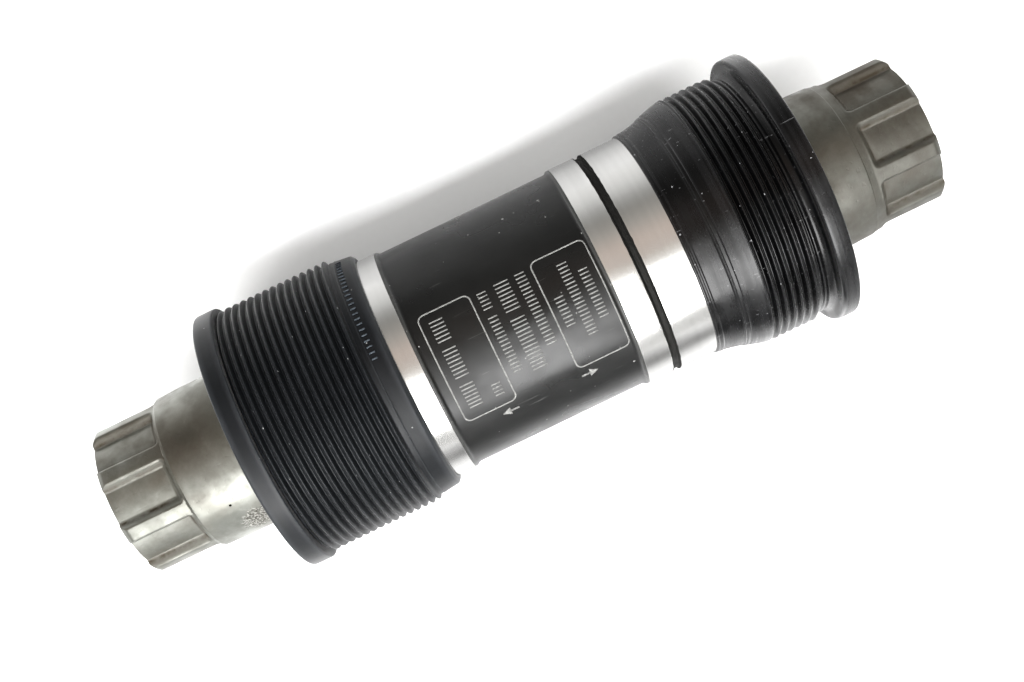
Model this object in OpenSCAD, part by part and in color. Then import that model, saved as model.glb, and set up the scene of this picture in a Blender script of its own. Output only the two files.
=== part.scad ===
// Cartridge bottom bracket with a hollow eight-spline spindle, for a threaded bicycle frame shell.
// The spindle lies along Y, with its middle at the origin. The drive side is at -Y, the left side at +Y.
// Every outline below is drawn as [radius, station]. A station is a distance along the spindle from its
// middle, in millimetres, positive towards the drive side.

/* [Spindle] */
// Length of the spindle over both ends
spindle_length = 113; // [111:0.5:122]
// Diameter over the lands of the crank splines
spline_d = 20.7; // [20.4:0.1:21]
// Diameter of the floors between the lands
spline_root_d = 18.3; // [17.8:0.1:18.8]
// Length of a crank spline, from the spindle's end to the wall that closes it
spline_length = 8.75; // [6:0.25:10]
// Diameter of the collars and of the bearing seats
collar_d = 21.4; // [21.2:0.1:21.6]
// Station of the drive side collar's edge
drive_collar_edge = 46.4; // [45:0.1:47]
// Distance of the left collar's edge from the middle
left_collar_edge = 47.3; // [45:0.1:47.4]
// Diameter of the spindle's hollow middle
hollow_d = 15.6; // [15:0.2:16.4]
// Diameter of the tapped hole for the M15 x 1 crank bolt, at the crests of its thread
bolt_hole_d = 14; // [13.6:0.1:14.2]
// Depth of each tapped hole
bolt_hole_depth = 15; // [10:1:18]

/* [Cartridge] */
// Outer diameter of the bright steel body
body_d = 30.9; // [30.8:0.05:31]
// Outer diameter of the black sleeve between its lips
sleeve_d = 30.2; // [30:0.05:30.4]
// Distance of the sleeve's left edge from the middle
sleeve_left = 13.6; // [12:0.1:15]
// Station of the sleeve's drive side edge
sleeve_drive = 11.4; // [10:0.1:12]
// Station where the body tube ends and the joint seal starts
joint_start = 14.9; // [14:0.1:16]
// Width of the joint seal
joint_width = 1; // [0.8:0.1:1.4]

/* [Bearings] */
// Width of a bearing
bearing_w = 7; // [6.5:0.5:7]
// Diameter of a bearing over its outer race
bearing_d = 29; // [28.8:0.1:29.1]
// Station of the drive side bearing's inner face
drive_bearing_at = 24; // [23.5:0.1:24.5]
// Distance of the left bearing's inner face from the middle
left_bearing_at = 22; // [21.5:0.1:22.5]
// Diameter of a ball
ball_d = 2.381; // [2.3:0.001:2.4]
// Number of balls in a bearing
ball_count = 22; // [18:1:23]

/* [Cups] */
// Diameter over the crests of the shell threads
thread_d = 34.7; // [34.5:0.05:34.9]
// Threads per inch on both cups
threads_per_inch = 24; // [24:1:26]
// Crests on the left cup
left_crests = 15; // [12:1:15]
// Crests on the drive cup
drive_crests = 7; // [5:1:7]
// Diameter of the left cup's flange
left_flange_d = 35.9; // [35.5:0.1:36.5]
// Diameter of the drive cup's flange
drive_flange_d = 37.3; // [37.3:0.1:38]
// Distance of the left cup's outer face from the middle
left_face = 38; // [37:0.1:38.5]
// Station of the drive cup's outer face
drive_face = 39.6; // [39:0.1:41]
// Distance of the left cup's inner end from the middle
left_cup_end = 16.15; // [15:0.05:17]
// Station of the drive cup's inner end
drive_cup_end = 21; // [20.5:0.1:22]
// Teeth of the splined socket that the cup tool turns
tool_teeth = 20; // [16:1:24]

/* [Hidden] */
$fn = 96;

half_length = spindle_length / 2;
spline_r = spline_d / 2;
spline_root_r = spline_root_d / 2;
collar_r = collar_d / 2;
spline_edge = 0.6;            // chamfer on the ends of the lands
spline_floor_angle = 10.9;    // half the width of a spline floor, in degrees
spline_mouth_angle = 16.7;    // half the width between two lands, in degrees
spline_count = 8;
collar_slope = 1.2;           // length of the slope from the lands up to the drive side collar
left_collar_slope = 0.35;
shoulder_r = 11.3;            // shoulder that a bearing's inner race is pressed against
shoulder_w = 1.5;
waist_r = 10.3;               // spindle between the two shoulders
countersink = 0.9;            // at the mouth of each tapped hole

body_r = body_d / 2;
seat_r = bearing_d / 2;       // bore that holds an outer race
tube_bore_r = 13.8;
sleeve_bed_r = 14.65;         // turned-down bed under the sleeve
joint_end = joint_start + joint_width;
stop_w = 1.2;                 // shoulder that stops the drive side outer race
spigot_end = drive_bearing_at - stop_w - 0.1;
tube_edge = 0.3;              // chamfer on the body tube's left end
joint_edge = 0.12;            // small chamfer on both sides of the joint seal
stop_r = 13.6;

race_t = 1.25;                // thickness of a race at its shoulders
inner_race_r = collar_r + race_t;
outer_race_r = seat_r - race_t;
ball_r = ball_d / 2;
pitch_r = (collar_r + seat_r) / 2;
ball_gap = 0.04;              // running gap between a ball and its tracks
track_r = ball_r * 1.05;      // radius of a track's cross-section
track_shift = track_r - ball_r - ball_gap;
seal_t = 0.45;
seal_inset = 0.35;
seal_gap = 0.03;              // running gap under a seal's lip
dust_seal_gap = 0.15;         // air between a bearing and its dust seal
drive_housing_end = drive_bearing_at + bearing_w + 0.9;
left_tube_end = left_bearing_at + bearing_w + 0.8;

thread_pitch = 25.4 / threads_per_inch;
thread_r = thread_d / 2;
thread_depth = 0.65;
thread_root_r = thread_r - thread_depth;
crest_w = 0.17;
flank_w = thread_depth * tan(27.5);
left_flange_w = 2.65;
left_first_crest = left_face - left_flange_w - 0.7;
left_bore_r = body_r + 0.05;
cup_lip_r = 13.9;             // lip inside each cup that holds the cartridge
cup_lip_w = 1.2;
left_lip_start = left_tube_end + 0.1;
drive_flange_start = drive_face - 2.5;
drive_first_crest = drive_flange_start - 8.95;
tool_tip_r = 15.2;
tool_root_r = 15.9;
tool_tooth_w = 2.3;
overrun = 1;                  // how far a cutter runs past the face it opens

// Stations run along Y, towards the drive side
module on_axis() rotate([90, 0, 0]) children();

module turned(outline) on_axis() rotate_extrude() polygon(outline);

// Points of an arc round centre, from one angle to another
function arc(centre, r, from, to, steps = 6) =
    [for (i = [0:steps])
        let (a = from + (to - from) * i / steps)
        [centre[0] + r * cos(a), centre[1] + r * sin(a)]];

// A ring-shaped outline between two radii and two stations
function ring(inner_r, outer_r, from, to) =
    [[inner_r, from], [outer_r, from], [outer_r, to], [inner_r, to]];

// Thread crests as ridges, counted from first towards the drive side
function ridges(first, count) =
    [for (i = [0:count - 1])
        let (s = first + i * thread_pitch)
        each [
            [thread_root_r, s - crest_w / 2 - flank_w],
            [thread_r, s - crest_w / 2],
            [thread_r, s + crest_w / 2],
            [thread_root_r, s + crest_w / 2 + flank_w]
        ]];

// ---- Spindle ----

// One side of the spindle's outer outline, from its shoulder out to its end
function spindle_side(shoulder_at, edge, slope) = [
    [waist_r, shoulder_at - shoulder_w],
    [shoulder_r, shoulder_at - shoulder_w],
    [shoulder_r, shoulder_at],
    [collar_r, shoulder_at],
    [collar_r, edge],
    [spline_r, edge + slope],
    [spline_r, half_length - spline_edge],
    [spline_r - spline_edge, half_length]
];

// One side of the bore, from the mouth of the tapped hole to the hollow middle
function bore_side() = [
    [bolt_hole_d / 2 + countersink, half_length],
    [bolt_hole_d / 2, half_length - countersink],
    [bolt_hole_d / 2, half_length - bolt_hole_depth],
    [hollow_d / 2, half_length - bolt_hole_depth - 1]
];

function mirrored(points) =
    [for (i = [len(points) - 1:-1:0]) [points[i][0], -points[i][1]]];

// Cutter for one space between two lands, standing on the end of the spindle
module spline_cutter() {
    reach = spline_r + overrun;
    mouth = spline_r * sin(spline_mouth_angle);
    floor_half = spline_root_r * sin(spline_floor_angle);
    rise = spline_r * cos(spline_mouth_angle) - spline_root_r * cos(spline_floor_angle);
    flare = (mouth - floor_half) / rise;
    floor_y = spline_root_r * cos(spline_floor_angle);
    deep = 0.5;
    difference() {
        linear_extrude(height = spline_length + overrun)
            polygon([
                [-floor_half + flare * deep, floor_y - deep],
                [floor_half - flare * deep, floor_y - deep],
                [floor_half + flare * (reach - floor_y), reach],
                [-floor_half - flare * (reach - floor_y), reach]
            ]);
        translate([0, 0, -overrun]) cylinder(r = spline_root_r, h = spline_length + 3 * overrun);
    }
}

module spline_cutters() {
    for (i = [0:spline_count - 1])
        rotate(i * 360 / spline_count) spline_cutter();
}

module spindle() {
    color([0.62, 0.60, 0.57])
    difference() {
        turned(concat(
            mirrored(spindle_side(left_bearing_at, left_collar_edge, left_collar_slope)),
            spindle_side(drive_bearing_at, drive_collar_edge, collar_slope),
            bore_side(),
            mirrored(bore_side())
        ));
        on_axis() translate([0, 0, half_length - spline_length]) spline_cutters();
        on_axis() mirror([0, 0, 1]) translate([0, 0, half_length - spline_length]) spline_cutters();
    }
}

// ---- Bearings, drawn with the middle of the bearing at the given station ----

module track(shift, at) {
    on_axis() translate([0, 0, at])
        rotate_extrude() translate([pitch_r + shift, 0]) circle(r = track_r, $fn = 48);
}

module inner_race(at) {
    color([0.72, 0.72, 0.73])
    difference() {
        turned(ring(collar_r, inner_race_r, at - bearing_w / 2, at + bearing_w / 2));
        track(track_shift, at);
    }
}

module outer_race(at) {
    color([0.72, 0.72, 0.73])
    difference() {
        turned(ring(outer_race_r, seat_r, at - bearing_w / 2, at + bearing_w / 2));
        track(-track_shift, at);
    }
}

module balls(at) {
    color([0.85, 0.85, 0.87])
    on_axis() translate([0, 0, at])
        for (i = [0:ball_count - 1])
            rotate(i * 360 / ball_count) translate([pitch_r, 0, 0]) sphere(r = ball_r, $fn = 32);
}

// Ring that spaces the balls, with a round pocket for each
module ball_cage(at) {
    cage_t = 1;
    cage_w = 3.5;
    pocket_r = ball_r + 0.09;
    color([0.25, 0.20, 0.12])
    difference() {
        turned(ring(pitch_r - cage_t / 2, pitch_r + cage_t / 2, at - cage_w / 2, at + cage_w / 2));
        on_axis() translate([0, 0, at])
            for (i = [0:ball_count - 1])
                rotate(i * 360 / ball_count)
                    translate([pitch_r - cage_t, 0, 0])
                        rotate([0, 90, 0]) cylinder(r = pocket_r, h = 2 * cage_t);
    }
}

// A rubber seal inside the bearing's width; side is 1 towards the drive side and -1 away from it
module bearing_seal(at, side) {
    face = at + side * (bearing_w / 2 - seal_inset - seal_t / 2);
    color([0.10, 0.10, 0.10])
    turned(ring(inner_race_r + seal_gap, outer_race_r, face - seal_t / 2, face + seal_t / 2));
}

// A rubber washer that closes the cartridge beside a bearing, with a lip on the spindle
module dust_seal(from, to, lip_side) {
    lip_w = 0.35;
    lip_r = collar_r + 1.1;
    lip = lip_side > 0 ? [to - lip_w, to] : [from, from + lip_w];
    color([0.10, 0.10, 0.10])
    difference() {
        turned(ring(collar_r + seal_gap, seat_r, from, to));
        turned(lip_side > 0
            ? ring(collar_r - 0.5, lip_r, from - overrun, lip[0])
            : ring(collar_r - 0.5, lip_r, lip[1], to + overrun));
    }
}

drive_bearing_mid = drive_bearing_at + bearing_w / 2;
left_bearing_mid = -left_bearing_at - bearing_w / 2;

module drive_inner_race() inner_race(drive_bearing_mid);
module left_inner_race() inner_race(left_bearing_mid);
module drive_outer_race() outer_race(drive_bearing_mid);
module left_outer_race() outer_race(left_bearing_mid);
module drive_balls() balls(drive_bearing_mid);
module left_balls() balls(left_bearing_mid);
module drive_ball_cage() ball_cage(drive_bearing_mid);
module left_ball_cage() ball_cage(left_bearing_mid);
module drive_outer_seal() bearing_seal(drive_bearing_mid, 1);
module drive_inner_seal() bearing_seal(drive_bearing_mid, -1);
module left_outer_seal() bearing_seal(left_bearing_mid, -1);
module left_inner_seal() bearing_seal(left_bearing_mid, 1);
module drive_dust_seal()
    dust_seal(drive_bearing_at + bearing_w + dust_seal_gap, drive_housing_end, 1);
module left_dust_seal()
    dust_seal(-left_tube_end, -left_bearing_at - bearing_w - dust_seal_gap, -1);

// ---- Cartridge ----

// Steel tube: the left bearing's seat, the bed for the sleeve, and a spigot into the drive housing
module body_tube() {
    color([0.80, 0.80, 0.81])
    turned([
        [seat_r, -left_tube_end],
        [body_r - tube_edge, -left_tube_end],
        [body_r, -left_tube_end + tube_edge],
        [body_r, -sleeve_left],
        [sleeve_bed_r, -sleeve_left],
        [sleeve_bed_r, sleeve_drive],
        [body_r, sleeve_drive],
        [body_r, joint_start - joint_edge],
        [body_r - joint_edge, joint_start],
        [seat_r, joint_start],
        [seat_r, spigot_end],
        [tube_bore_r, spigot_end],
        [tube_bore_r, -left_bearing_at],
        [seat_r, -left_bearing_at]
    ]);
}

// Steel shell of the drive side bearing, under the drive cup
module drive_housing() {
    color([0.80, 0.80, 0.81])
    turned([
        [seat_r, joint_end],
        [body_r - joint_edge, joint_end],
        [body_r, joint_end + joint_edge],
        [body_r, drive_housing_end],
        [seat_r, drive_housing_end],
        [seat_r, drive_bearing_at],
        [stop_r, drive_bearing_at],
        [stop_r, drive_bearing_at - stop_w],
        [seat_r, drive_bearing_at - stop_w]
    ]);
}

// Thin black sleeve round the middle, with a flared lip at each edge
module label_sleeve() {
    lip_w = 0.3;
    flare_w = 0.3;
    sleeve_r = sleeve_d / 2;
    color([0.10, 0.10, 0.11])
    turned([
        [sleeve_bed_r, -sleeve_left],
        [body_r, -sleeve_left],
        [body_r, -sleeve_left + lip_w],
        [sleeve_r, -sleeve_left + lip_w + flare_w],
        [sleeve_r, sleeve_drive - lip_w - flare_w],
        [body_r, sleeve_drive - lip_w],
        [body_r, sleeve_drive],
        [sleeve_bed_r, sleeve_drive]
    ]);
}

// Dark ring in the joint between the body tube and the drive housing
module joint_seal() {
    proud = body_r - 0.3;
    round_r = joint_width / 2;
    color([0.06, 0.06, 0.06])
    turned(concat(
        [[seat_r, joint_start]],
        arc([proud - round_r, joint_start + round_r], round_r, -60, 60, 8),
        [[seat_r, joint_end]]
    ));
}

// ---- Cups ----

// Twenty notches that the cup tool's teeth enter, cut from the cup's outer face
module tool_notches(depth) {
    inside = tool_tip_r - 0.6;
    linear_extrude(height = depth + overrun)
        for (i = [0:tool_teeth - 1])
            rotate(i * 360 / tool_teeth)
                polygon([
                    [inside, -tool_tooth_w / 2 - 0.2],
                    [tool_root_r, -tool_tooth_w / 2 + 0.2],
                    [tool_root_r, tool_tooth_w / 2 - 0.2],
                    [inside, tool_tooth_w / 2 + 0.2]
                ]);
}

// Moulded adapter that slides over the left end of the body tube
module left_cup() {
    edge = 0.5;
    socket_floor = left_lip_start + cup_lip_w;
    last_crest = -left_first_crest + (left_crests - 1) * thread_pitch;
    flange_in = -left_face + left_flange_w;
    flange_r = left_flange_d / 2;
    band_r = thread_root_r + 0.04;
    end_edge = 0.25;
    color([0.17, 0.18, 0.20])
    difference() {
        turned(concat(
            [[tool_tip_r + 0.5, -left_face]],
            arc([flange_r - edge, -left_face + edge], edge, -90, 0),
            [
                [flange_r, flange_in - 0.2],
                [flange_r - 0.2, flange_in],
                [thread_root_r, flange_in]
            ],
            ridges(-left_first_crest, left_crests),
            [
                [band_r, last_crest + crest_w / 2 + flank_w],
                [band_r, -left_cup_end - end_edge],
                [band_r - end_edge, -left_cup_end],
                [left_bore_r, -left_cup_end],
                [left_bore_r, -left_lip_start],
                [cup_lip_r, -left_lip_start],
                [cup_lip_r, -socket_floor],
                [tool_tip_r, -socket_floor],
                [tool_tip_r, -left_face + 0.5]
            ]
        ));
        on_axis() mirror([0, 0, 1]) translate([0, 0, socket_floor]) tool_notches(left_face - socket_floor);
    }
}

// Points along a neck that widens from one point to another, a little hollow on the way
function hollow_taper(from, to, steps = 5) =
    [for (i = [0:steps])
        let (t = i / steps)
        [from[0] + (to[0] - from[0]) * pow(t, 1.35), from[1] + (to[1] - from[1]) * t]];

// Fixed cup, pressed on the drive housing: tapered neck, shell thread and flange
module drive_cup() {
    flange_r = drive_flange_d / 2;
    socket_floor = drive_housing_end + cup_lip_w;
    step = 25.3;                                  // station where the neck's first taper ends
    step_r = 16.5;
    shoulder_end_r = 17.12;                       // the neck's widest, just before the thread
    rim_r = body_r + 0.25;                        // thin rim round the cup's inner end
    rim_w = 0.6;
    taper_r = rim_r - 0.08;
    taper_at = drive_cup_end + rim_w + 0.2;
    fillet_r = 1.5;                               // curve from the thread up to the flange
    fillet_at = drive_flange_start - fillet_r;
    thread_end = drive_first_crest + (drive_crests - 1) * thread_pitch + crest_w / 2 + flank_w;
    face_edge = 0.5;
    color([0.07, 0.07, 0.08])
    difference() {
        turned(concat(
            [
                [body_r, drive_cup_end],
                [rim_r - 0.1, drive_cup_end],
                [rim_r, drive_cup_end + 0.1],
                [rim_r, drive_cup_end + rim_w]
            ],
            hollow_taper([taper_r, taper_at], [step_r, step]),
            [
                [step_r + 0.14, step + 0.1],
                [shoulder_end_r, drive_first_crest - 0.75],
                [shoulder_end_r - 0.07, drive_first_crest - crest_w / 2 - flank_w - 0.05]
            ],
            ridges(drive_first_crest, drive_crests),
            [[thread_root_r, thread_end], [thread_root_r, fillet_at]],
            arc([thread_root_r + fillet_r, fillet_at], fillet_r, 180, 90),
            [[flange_r - 0.3, drive_flange_start], [flange_r, drive_flange_start + 0.3]],
            arc([flange_r - face_edge, drive_face - face_edge], face_edge, 0, 90),
            [
                [tool_tip_r + 0.5, drive_face],
                [tool_tip_r, drive_face - 0.5],
                [tool_tip_r, socket_floor],
                [cup_lip_r, socket_floor],
                [cup_lip_r, drive_housing_end],
                [body_r, drive_housing_end]
            ]
        ));
        on_axis() translate([0, 0, socket_floor]) tool_notches(drive_face - socket_floor);
    }
}

spindle();
drive_inner_race();
left_inner_race();
drive_cup();
drive_housing();
body_tube();
label_sleeve();
joint_seal();
drive_outer_race();
drive_outer_seal();
drive_inner_seal();
drive_dust_seal();
left_outer_race();
left_outer_seal();
left_inner_seal();
left_dust_seal();
drive_balls();
drive_ball_cage();
left_balls();
left_ball_cage();
left_cup();
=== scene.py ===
import collections
import math

import bpy
import numpy as np
from mathutils import Matrix, Vector


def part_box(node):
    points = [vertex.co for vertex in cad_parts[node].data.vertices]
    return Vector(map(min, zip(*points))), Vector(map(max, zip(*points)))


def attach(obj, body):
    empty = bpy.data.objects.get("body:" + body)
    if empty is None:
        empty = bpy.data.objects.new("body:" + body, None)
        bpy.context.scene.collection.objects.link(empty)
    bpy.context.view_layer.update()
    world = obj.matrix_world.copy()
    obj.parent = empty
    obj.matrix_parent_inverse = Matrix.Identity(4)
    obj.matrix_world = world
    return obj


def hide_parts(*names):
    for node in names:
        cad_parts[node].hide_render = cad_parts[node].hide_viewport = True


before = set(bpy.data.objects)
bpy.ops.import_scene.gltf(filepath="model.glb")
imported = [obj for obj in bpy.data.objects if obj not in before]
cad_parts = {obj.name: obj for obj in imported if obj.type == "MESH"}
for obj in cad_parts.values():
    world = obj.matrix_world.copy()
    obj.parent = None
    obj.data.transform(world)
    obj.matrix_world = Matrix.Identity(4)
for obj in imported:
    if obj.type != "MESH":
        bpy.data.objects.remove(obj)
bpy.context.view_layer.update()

# The spindle lies along Y. A station is a distance in mm along it from the middle, positive towards the
# drive side, which is -Y. A turn is an angle round it, 0 facing up and positive towards -X.
MM = 0.001
PITCH = 25.4 / 24            # both shell threads have 24 threads per inch
THREAD_R = 17.35
THREAD_DEPTH = 0.65
THREAD_ROOT_R = THREAD_R - THREAD_DEPTH
CREST_W = 0.17
FLANK_W = THREAD_DEPTH * math.tan(math.radians(27.5))
RUN_OUT = 0.6                # how far beyond its end crests a thread has died away
RUN_OUT_W = 0.45             # over this length
RIGHT_HAND, LEFT_HAND = 1, -1
CUP_COLUMNS = 320
BODY_COLUMNS = 256
TOOL_TEETH = 20
TOOL_TIP_R = 15.2
TOOL_ROOT_R = 15.9
NOTCH_HALF_W = 1.3
NOTCH_FLANK_W = 0.35
SOCKET_CHAMFER = 0.5
CUP_LIP_R = 13.9
CUP_LIP_W = 1.2
SLEEVE_BED_R = 14.65
CLOSE = 0.01                 # allowance when a point is told by its radius or station


def reach(node):
    """A CAD node's outer radius and its first and last station, in mm."""
    low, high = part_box(node)
    return high.z / MM, -high.y / MM, -low.y / MM


SPINDLE_SHOULDER_R, _, SPINDLE_END = reach("spindle")
BODY_R, TUBE_START, _ = reach("body_tube")
LEFT_FLANGE_R, LEFT_FACE, LEFT_CUP_END = reach("left_cup")
DRIVE_FLANGE_R, DRIVE_CUP_END, DRIVE_FACE = reach("drive_cup")
HOUSING_START, HOUSING_END = reach("drive_housing")[1:]
SLEEVE_START, SLEEVE_END = reach("label_sleeve")[1:]
JOINT_START, JOINT_END = reach("joint_seal")[1:]
SEAT_R = reach("left_outer_race")[0]


# ---- Shapes ----

Corner = collections.namedtuple("Corner", "r s round step", defaults=(0.1, 0.6))


def outline(corners):
    """Rows (radius, station, edge) round a closed outline of corners, counter-clockwise with radius to
    the right. Each corner is rounded off over its own length, and edge is 1 on the outward corners and 0
    elsewhere. The rows of a stretch are no further apart than the larger of its two corners' steps."""
    places = np.array([(corner.r, corner.s) for corner in corners])
    rounds = np.array([corner.round for corner in corners])
    sides = np.roll(places, -1, 0) - places
    lengths = np.hypot(*sides.T)
    sides /= lengths[:, None]
    room = lengths / np.maximum(rounds + np.roll(rounds, -1), 1e-9)
    cuts = rounds * np.minimum(1, 0.98 * np.minimum(room, np.roll(room, 1)))
    points = []
    for i, here in enumerate(corners):
        ahead = (i + 1) % len(corners)
        first, last = places[i] - sides[i - 1] * cuts[i], places[i] + sides[i] * cuts[i]
        outward = sides[i - 1][0] * sides[i][1] - sides[i - 1][1] * sides[i][0] > 0
        bends = max(5, int(cuts[i] / 0.12) + 2) if cuts[i] > 0 else 1
        for t in np.linspace(0, 1, bends):
            spot = (1 - t) ** 2 * first + 2 * t * (1 - t) * places[i] + t**2 * last
            points.append((*spot, float(outward and cuts[i] > 0)))
        gap = lengths[i] - cuts[i] - cuts[ahead]
        pieces = max(1, math.ceil(gap / max(here.step, corners[ahead].step)))
        for k in range(1, pieces):
            points.append((*(last + sides[i] * gap * k / pieces), 0.0))
    return np.array(points)


def soft_step(x, blur):
    """0 below 0, 1 above 1 and straight between, with both bends rounded over blur."""
    return sum(np.clip(x + blur * k, 0, 1) for k in np.linspace(-1, 1, 9)) / 9


def ridge(along, pitch, crest_w, flank_w):
    """Height of a thread's ridge, from 0 to 1, at a distance along the spindle from a crest."""
    phase = np.abs((along + pitch / 2) % pitch - pitch / 2)
    return soft_step((crest_w / 2 + flank_w - phase) / flank_w, 0.25)


def shell_thread(station, turn, first, last, hand):
    """Height of a shell thread above its root, dying away past its first and last crests."""
    height = ridge(station - first - hand * PITCH * turn / math.tau, PITCH, CREST_W, FLANK_W)
    rise = soft_step((station - first + RUN_OUT) / RUN_OUT_W, 0.3)
    fall = soft_step((last + RUN_OUT - station) / RUN_OUT_W, 0.3)
    return height * (rise * fall)


def ripple(turn, seed, size, waves=(3, 5, 8, 13)):
    """A small unevenness round a ring, from a few waves with fixed random places."""
    phases = np.random.default_rng(seed).uniform(0, math.tau, len(waves))
    total = sum(np.sin(n * turn + phase) for n, phase in zip(waves, phases))
    return size * total / len(waves)


def mesh_object(name, corners, faces):
    mesh = bpy.data.meshes.new(name)
    mesh.from_pydata((np.asarray(corners) * MM).tolist(), [], np.asarray(faces).tolist())
    mesh.polygons.foreach_set("use_smooth", np.ones(len(mesh.polygons), bool))
    piece = bpy.data.objects.new(name, mesh)
    bpy.context.scene.collection.objects.link(piece)
    return piece


def at(radius, station, turn):
    """Points in mm at a radius, station and turn."""
    return np.stack((-radius * np.sin(turn), -station, radius * np.cos(turn)), -1)


def even_turns(columns):
    turns = np.arange(columns) * math.tau / columns
    return np.where(turns > math.pi, turns - math.tau, turns)


def revolve(name, rows, turns, shape=None):
    """A closed ring-shaped piece: rows goes round the outline and turns round the spindle. shape moves
    the grid's radii and stations, and gives the wear value of each point."""
    columns = len(turns)
    radius, station, edge = (np.repeat(rows[:, k : k + 1], columns, 1) for k in range(3))
    turn = np.repeat(turns[None, :], len(rows), 0)
    wear = edge
    if shape:
        radius, station, wear = shape(radius, station, turn, edge)
    i = np.arange(len(rows))[:, None]
    j = np.arange(columns)[None, :]
    here, below = i * columns, (i + 1) % len(rows) * columns
    beside = (j + 1) % columns
    faces = np.stack((here + j, here + beside, below + beside, below + j), -1)
    piece = mesh_object(name, at(radius, station, turn).reshape(-1, 3), faces.reshape(-1, 4))
    values = piece.data.attributes.new("wear", "FLOAT", "POINT")
    values.data.foreach_set("value", wear.astype(np.float32).ravel())
    piece.modifiers.new("even_shading", "WEIGHTED_NORMAL").weight = 60
    return piece


def socket_teeth(turn):
    """How far the cup tool's notches cut below the tips of the teeth, by turn."""
    sector = math.tau / TOOL_TEETH
    off = np.abs((turn + sector / 2) % sector - sector / 2) * TOOL_ROOT_R
    return (TOOL_ROOT_R - TOOL_TIP_R) * soft_step((NOTCH_HALF_W - off) / NOTCH_FLANK_W, 0.3)


def cut_socket(radius, turn, within):
    """Opens the notches into a cup's socket wall and its small chamfer, at the stations that are within."""
    depth = socket_teeth(turn)
    blend = 0.15
    weight = np.clip((radius - TOOL_TIP_R + blend) / blend, 0, 1)
    deeper = np.maximum(radius, TOOL_TIP_R + depth)
    notched = np.where(radius < TOOL_TIP_R, radius + depth * weight, deeper)
    on_wall = (radius < TOOL_TIP_R + SOCKET_CHAMFER + 0.05) & (radius > CUP_LIP_R)
    return np.where(within & on_wall, notched, radius)


# ---- Pieces ----

SPLINES = 8
SPLINE_R = 10.35
SPLINE_FLOOR_R = 9.15
SPLINE_LENGTH = 8.75
SPLINE_MOUTH = math.radians(16.9)
SPLINE_FLANK_W = 0.62
SPLINE_CORNER = 0.75
COLLAR_R = 10.7
DRIVE_COLLAR_EDGE = 46.4
LEFT_COLLAR_EDGE = -47.3
DRIVE_SHOULDER, LEFT_SHOULDER, SHOULDER_W = 24, -22, 1.5
WAIST_R = 10.3
HOLLOW_R = 7.8
END_CHAMFER = 0.6
COLLAR_TAPER_W = 3
BOLT_CREST_R = 7.0
BOLT_ROOT_R = 7.5
BOLT_DEPTH = 15
BOLT_PITCH = 1
BOLT_CREST_W = 0.12
BOLT_FLANK_W = 0.38
COUNTERSINK = 0.9


def spindle_side(side, shoulder, edge, slope):
    """Corners of the outer outline from a bearing shoulder out to the spindle's end."""
    end = SPINDLE_END
    wall = end - SPLINE_LENGTH
    return [
        Corner(WAIST_R, side * (shoulder - SHOULDER_W), 0.3, 6),
        Corner(SPINDLE_SHOULDER_R, side * (shoulder - SHOULDER_W), 0.15),
        Corner(SPINDLE_SHOULDER_R, side * shoulder, 0.15),
        Corner(COLLAR_R, side * shoulder, 0.1, 4),
        Corner(COLLAR_R, side * (edge - COLLAR_TAPER_W), 0.5, 0.5),
        Corner(COLLAR_R - 0.12, side * edge, 0.04, 0.1),
        Corner(COLLAR_R - 0.2, side * (edge + 0.09), 0.04, 0.1),
        Corner(SPLINE_R, side * (edge + slope), 0.1, 0.12),
        Corner(SPLINE_R, side * (wall - 0.15), 0, 0.09),
        Corner(SPLINE_R, side * (wall + 0.85), 0, 0.09),
        Corner(SPLINE_R, side * (end - 0.7), 0.3, 0.6),
        Corner(SPLINE_R - END_CHAMFER, side * end, 0.2, 0.4),
    ]


def spindle_bore(side):
    """Corners of the bore from the mouth of a tapped hole in to the hollow middle."""
    end = SPINDLE_END
    return [
        Corner(BOLT_CREST_R + COUNTERSINK, side * end, 0.12, 0.4),
        Corner(BOLT_CREST_R, side * (end - COUNTERSINK), 0.05, 0.23),
        Corner(BOLT_CREST_R, side * (end - BOLT_DEPTH), 0.05, 0.23),
        Corner(HOLLOW_R, side * (end - BOLT_DEPTH - 1), 0.3, 8),
    ]


def spline_depth(station, turn):
    """How far the spaces between the splines are cut in, and how near a point is to their walls' feet."""
    sector = math.tau / SPLINES
    off = np.abs((turn + sector / 2) % sector - sector / 2)
    from_side = SPLINE_CORNER - (SPLINE_MOUTH - off) * SPLINE_R
    from_wall = SPLINE_CORNER - (np.abs(station) - (SPINDLE_END - SPLINE_LENGTH))
    past_corner = np.hypot(from_side.clip(0), from_wall.clip(0))
    outside = np.minimum(np.maximum(from_side, from_wall), 0) + past_corner
    inside = SPLINE_CORNER - outside
    cut = soft_step(inside / SPLINE_FLANK_W, 0.32)
    return (SPLINE_R - SPLINE_FLOOR_R) * cut, np.exp(-(((inside - 0.8 * SPLINE_FLANK_W) / 0.3) ** 2))


def spline_turns():
    """Turns of the spindle's columns: close together over the walls of the spline spaces."""
    mouth_w = SPLINE_MOUTH * SPLINE_R
    half_w = math.pi / SPLINES * SPLINE_R
    walls = np.linspace(mouth_w - 0.95, mouth_w + 0.25, 13)
    floor = np.linspace(0, walls[0], 4)[1:-1]
    land = np.linspace(walls[-1], half_w, 3)[1:]
    half = np.concatenate((floor, walls, land))
    sector = np.concatenate((-half[-2::-1], [0], half)) / SPLINE_R
    turns = np.concatenate([sector + k * math.tau / SPLINES for k in range(SPLINES)])
    return np.where(turns > math.pi, turns - math.tau, turns)


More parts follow.
